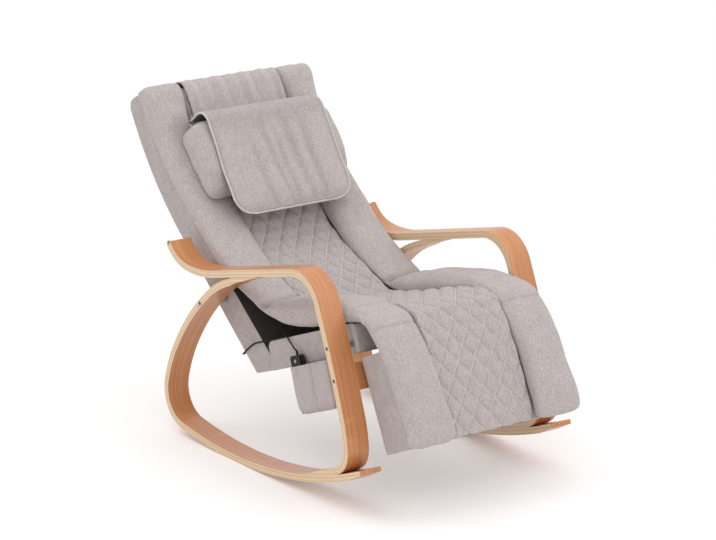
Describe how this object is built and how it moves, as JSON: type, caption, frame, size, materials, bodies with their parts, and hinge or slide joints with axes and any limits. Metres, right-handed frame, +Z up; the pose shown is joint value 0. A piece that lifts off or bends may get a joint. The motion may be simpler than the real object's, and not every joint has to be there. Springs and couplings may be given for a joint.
{
  "type": "massage rocking chair",
  "caption": "Rocking lounge chair on bent laminated wood side frames, with padded seat, back with a massage unit, neck pillow, hinged leg rest and a corded handset in a side pocket.",
  "frame": {"origin": "on the floor where the two curved runners touch it, midway between them", "axes": "+Z up, -Y to the front of the chair, +X to the right in a view along +Y"},
  "size_m": [0.672, 1.2877, 0.8917],
  "materials": {
    "beech": "clear satin lacquer",
    "beech_edge": "clear satin lacquer",
    "plug_wood": "clear satin lacquer",
    "plywood": "raw sanded plywood",
    "grey_cloth": "heathered woven upholstery cloth",
    "head_cloth": "heathered woven upholstery cloth",
    "mesh": "fine knitted mesh",
    "foam": "open cell foam",
    "webbing": "elastic webbing",
    "heat_film": "heating film in felt",
    "black_steel": "black oxide",
    "zinc_steel": "zinc plated",
    "black_plastic": "fine texture",
    "gloss_black": "gloss",
    "key_plastic": "satin",
    "roller_plastic": "satin",
    "lead_rubber": "matt"
  },
  "bodies": {
    "chair": {"arm_leg_left": "beech", "arm_leg_right": "beech", "rocker_left": "beech", "rocker_right": "beech", "front_cross_rail": "beech_edge", "frame_bolts": "black_steel", "spacer_sleeves": "zinc_steel", "edge_plugs": "plug_wood", "seat_box": "grey_cloth", "seat_frame": "plywood", "seat_webbing": "webbing", "seat_foam": "foam", "control_box": "black_plastic", "back_shell": "grey_cloth", "back_frame": "plywood", "support_mesh": "mesh", "heating_pad": "heat_film", "carriage_rails": "zinc_steel", "travel_motor": "black_plastic", "power_inlet": "black_plastic", "lead_grommet": "black_plastic", "lumbar_core": "foam", "hinge_seat_leaves": "zinc_steel", "hinge_pins": "zinc_steel", "back_bolster_left": "grey_cloth", "back_bolster_right": "grey_cloth", "back_quilt": "grey_cloth", "seat_bolster_left": "grey_cloth", "seat_bolster_right": "grey_cloth", "seat_quilt": "grey_cloth", "knee_folds": "grey_cloth", "head_cloth": "head_cloth", "pocket": "grey_cloth", "handset_lead": "lead_rubber"},
    "leg_rest": {"legrest_tray": "grey_cloth", "legrest_board": "plywood", "legrest_foam": "foam", "hinge_leg_leaves": "zinc_steel", "leg_bolster_left": "grey_cloth", "leg_bolster_right": "grey_cloth", "leg_quilt": "grey_cloth"},
    "screw": {"lift_screw": "zinc_steel"},
    "massage_carriage": {"carriage": "zinc_steel", "kneading_motor": "black_plastic"},
    "left_arm": {"massage_arm_left": "zinc_steel"},
    "right_arm": {"massage_arm_right": "zinc_steel"},
    "roller_ll": {"roller_left_lower": "roller_plastic"},
    "roller_lu": {"roller_left_upper": "roller_plastic"},
    "roller_rl": {"roller_right_lower": "roller_plastic"},
    "roller_ru": {"roller_right_upper": "roller_plastic"},
    "neck_pillow": {"pillow": "grey_cloth", "flap_cord": "grey_cloth"},
    "flap": {"pillow_flap": "grey_cloth"},
    "handset": {"handset_body": "black_plastic", "handset_cover": "gloss_black"},
    "key_power": {"button_power": "key_plastic"},
    "key_mode": {"button_mode": "key_plastic"},
    "key_heat": {"button_heat": "key_plastic"},
    "key_speed": {"button_speed": "key_plastic"}
  },
  "joints": [
    {"name": "legrest_lift", "type": "hinge", "parent": "chair", "child": "leg_rest", "pos_m": [0, -0.44599, 0.43001], "axis": [-1, 0, 0], "range_deg": [0, 45], "deforming": ["knee_folds"]},
    {"name": "carriage_lift", "type": "slide", "parent": "chair", "child": "massage_carriage", "axis": [0, 0.7658, 0.6431], "range_m": [0, 0.2]},
    {"name": "screw_turn", "type": "hinge", "parent": "chair", "child": "screw", "pos_m": [0, -0.00476, 0.23992], "axis": [0, 0.7658, 0.6431], "range_deg": [0, 3600.5]},
    {"name": "right_arm_knead", "type": "hinge", "parent": "massage_carriage", "child": "right_arm", "pos_m": [0.03, 0.14389, 0.3739], "axis": [0, -0.6431, 0.7658], "range_deg": [-6, 6]},
    {"name": "left_arm_knead", "type": "hinge", "parent": "massage_carriage", "child": "left_arm", "pos_m": [-0.03, 0.14389, 0.3739], "axis": [0, -0.6431, 0.7658], "range_deg": [-6, 6]},
    {"name": "roller_rl_spin", "type": "hinge", "parent": "right_arm", "child": "roller_rl", "pos_m": [0.06, 0.09593, 0.36104], "axis": [1, 0, 0], "continuous": true},
    {"name": "roller_ru_spin", "type": "hinge", "parent": "right_arm", "child": "roller_ru", "pos_m": [0.06, 0.16485, 0.41892], "axis": [1, 0, 0], "continuous": true},
    {"name": "roller_ll_spin", "type": "hinge", "parent": "left_arm", "child": "roller_ll", "pos_m": [-0.06, 0.09593, 0.36104], "axis": [1, 0, 0], "continuous": true},
    {"name": "roller_lu_spin", "type": "hinge", "parent": "left_arm", "child": "roller_lu", "pos_m": [-0.06, 0.16485, 0.41892], "axis": [1, 0, 0], "continuous": true},
    {"name": "pillow_lower", "type": "slide", "parent": "chair", "child": "neck_pillow", "axis": [0, -0.7658, -0.6431], "range_m": [0, 0.03]},
    {"name": "flap_open", "type": "hinge", "parent": "neck_pillow", "child": "flap", "pos_m": [0, 0.40975, 0.79118], "axis": [-1, 0, 0], "range_deg": [0, 80]},
    {"name": "handset_lift", "type": "slide", "parent": "chair", "child": "handset", "axis": [0, 0.3581, 0.9337], "range_m": [0, 0.06], "deforming": ["handset_lead"]},
    {"name": "power_press", "type": "slide", "parent": "handset", "child": "key_power", "axis": [1, 0, 0], "range_m": [0, 0.001], "stiffness_N_per_m": 400, "springref_m": -0.001},
    {"name": "mode_press", "type": "slide", "parent": "handset", "child": "key_mode", "axis": [1, 0, 0], "range_m": [0, 0.001], "stiffness_N_per_m": 400, "springref_m": -0.001},
    {"name": "heat_press", "type": "slide", "parent": "handset", "child": "key_heat", "axis": [1, 0, 0], "range_m": [0, 0.001], "stiffness_N_per_m": 400, "springref_m": -0.001},
    {"name": "speed_press", "type": "slide", "parent": "handset", "child": "key_speed", "axis": [1, 0, 0], "range_m": [0, 0.001], "stiffness_N_per_m": 400, "springref_m": -0.001}
  ],
  "couplings": [
    {"joint": "screw_turn", "follows": "carriage_lift", "rad_per_m": 314.16},
    {"joint": "left_arm_knead", "follows": "right_arm_knead", "ratio": -1}
  ]
}
